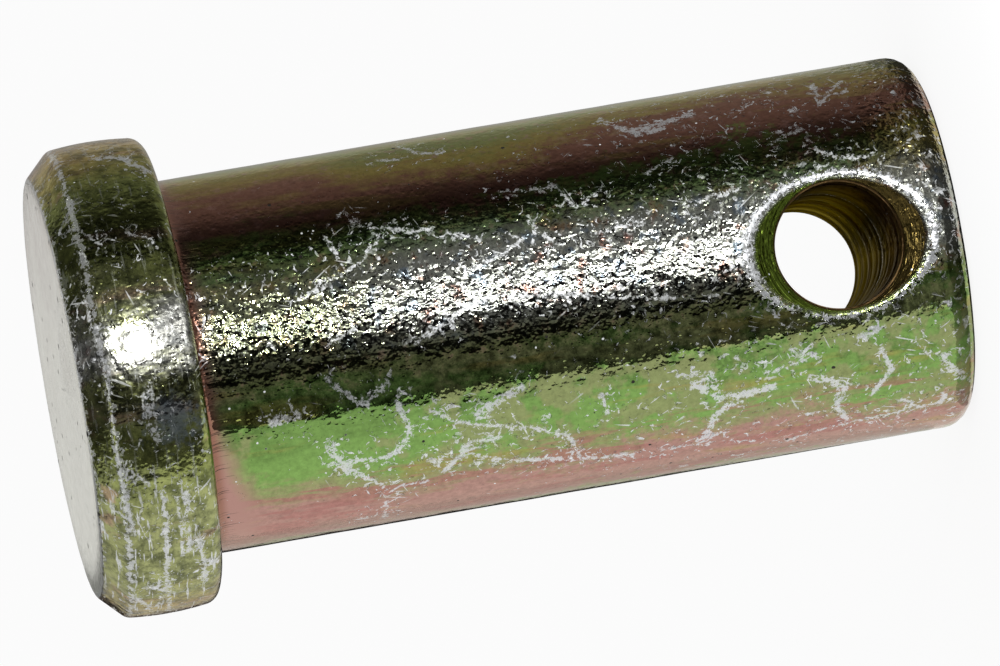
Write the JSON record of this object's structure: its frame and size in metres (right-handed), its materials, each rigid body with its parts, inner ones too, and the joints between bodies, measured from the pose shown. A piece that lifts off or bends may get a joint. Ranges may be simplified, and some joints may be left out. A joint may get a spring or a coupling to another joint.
{
  "type": "clevis pin",
  "caption": "Flat-headed steel clevis pin with a rounded free end and a countersunk cross hole for a split pin or clip.",
  "frame": {"origin": "centre of the free end's flat face, on which the pin stands", "axes": "+Z along the shank towards the head, Y along the cross hole"},
  "size_m": [0.0152, 0.0152, 0.0286],
  "materials": {
    "yellow_zinc": "zinc plated with an iridescent yellow chromate film, scuffed and scratched"
  },
  "bodies": {
    "root": {"clevis_pin": "yellow_zinc"}
  },
  "joints": []
}
